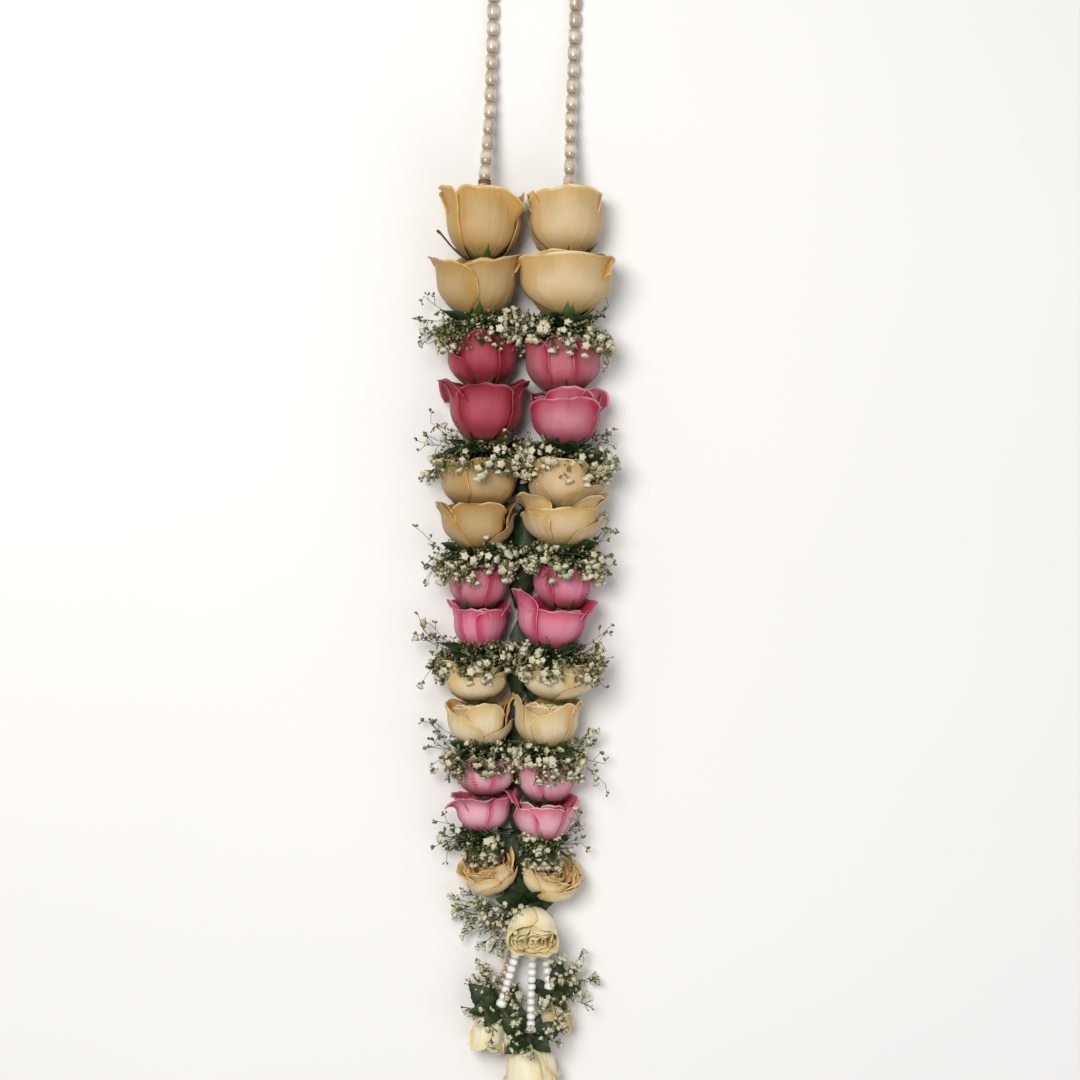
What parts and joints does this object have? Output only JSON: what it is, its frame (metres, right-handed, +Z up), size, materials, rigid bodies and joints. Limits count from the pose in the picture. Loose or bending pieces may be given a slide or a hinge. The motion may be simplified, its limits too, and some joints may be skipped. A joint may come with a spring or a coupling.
{
  "type": "rose garland",
  "caption": "Garland of strung cream and pink rose heads with baby's breath collars, a pearl neck string and a beaded rose tassel, worn at a wedding or hung as decoration",
  "frame": {"origin": "bottom centre of the garland's box, on the surface it lies on", "axes": "+Y from the tassel up the strands to the neck loop, +Z up from the surface, +X to the right of the strands as they are looked at from above"},
  "size_m": [0.1339, 0.764, 0.0645],
  "materials": {
    "rose_cream": "soft velvety petal, cream to peach with golden-orange folds",
    "rose_pink": "soft velvety petal, rose pink with deep magenta edges",
    "rose_pale": "soft velvety petal, pale yellow cream",
    "babys_breath": "off-white buds and dark green stems and leaves",
    "pearl": "ivory pearl lustre",
    "bead_white": "glossy white bead",
    "thread": "waxed cotton thread, brown"
  },
  "bodies": {
    "root": {"left_rose_01": "rose_cream", "left_rose_02": "rose_cream", "left_rose_03": "rose_pink", "left_rose_04": "rose_pink", "left_rose_05": "rose_cream", "left_rose_06": "rose_cream", "left_rose_07": "rose_pink", "left_rose_08": "rose_pink", "left_rose_09": "rose_cream", "left_rose_10": "rose_cream", "left_rose_11": "rose_pink", "left_rose_12": "rose_pink", "left_rose_13": "rose_cream", "left_collar_1": "babys_breath", "left_collar_2": "babys_breath", "left_collar_3": "babys_breath", "left_collar_4": "babys_breath", "left_collar_5": "babys_breath", "left_collar_6": "babys_breath", "left_thread": "thread", "right_rose_01": "rose_cream", "right_rose_02": "rose_cream", "right_rose_03": "rose_pink", "right_rose_04": "rose_pink", "right_rose_05": "rose_cream", "right_rose_06": "rose_cream", "right_rose_07": "rose_pink", "right_rose_08": "rose_pink", "right_rose_09": "rose_cream", "right_rose_10": "rose_cream", "right_rose_11": "rose_pink", "right_rose_12": "rose_pink", "right_rose_13": "rose_cream", "right_collar_1": "babys_breath", "right_collar_2": "babys_breath", "right_collar_3": "babys_breath", "right_collar_4": "babys_breath", "right_collar_5": "babys_breath", "right_collar_6": "babys_breath", "right_thread": "thread", "junction_rose": "rose_pale", "tassel_rose_left": "rose_pale", "tassel_rose_centre": "rose_pale", "tassel_rose_right": "rose_cream", "neck_pearls": "pearl", "binding_knot": "thread", "tassel_string_left": "bead_white", "tassel_string_centre": "bead_white", "tassel_string_right": "bead_white", "tassel_string_back": "bead_white", "junction_leaves": "babys_breath", "junction_spray": "babys_breath", "tassel_tuft_left": "babys_breath", "tassel_tuft_centre": "babys_breath", "tassel_tuft_right": "babys_breath"}
  },
  "joints": []
}
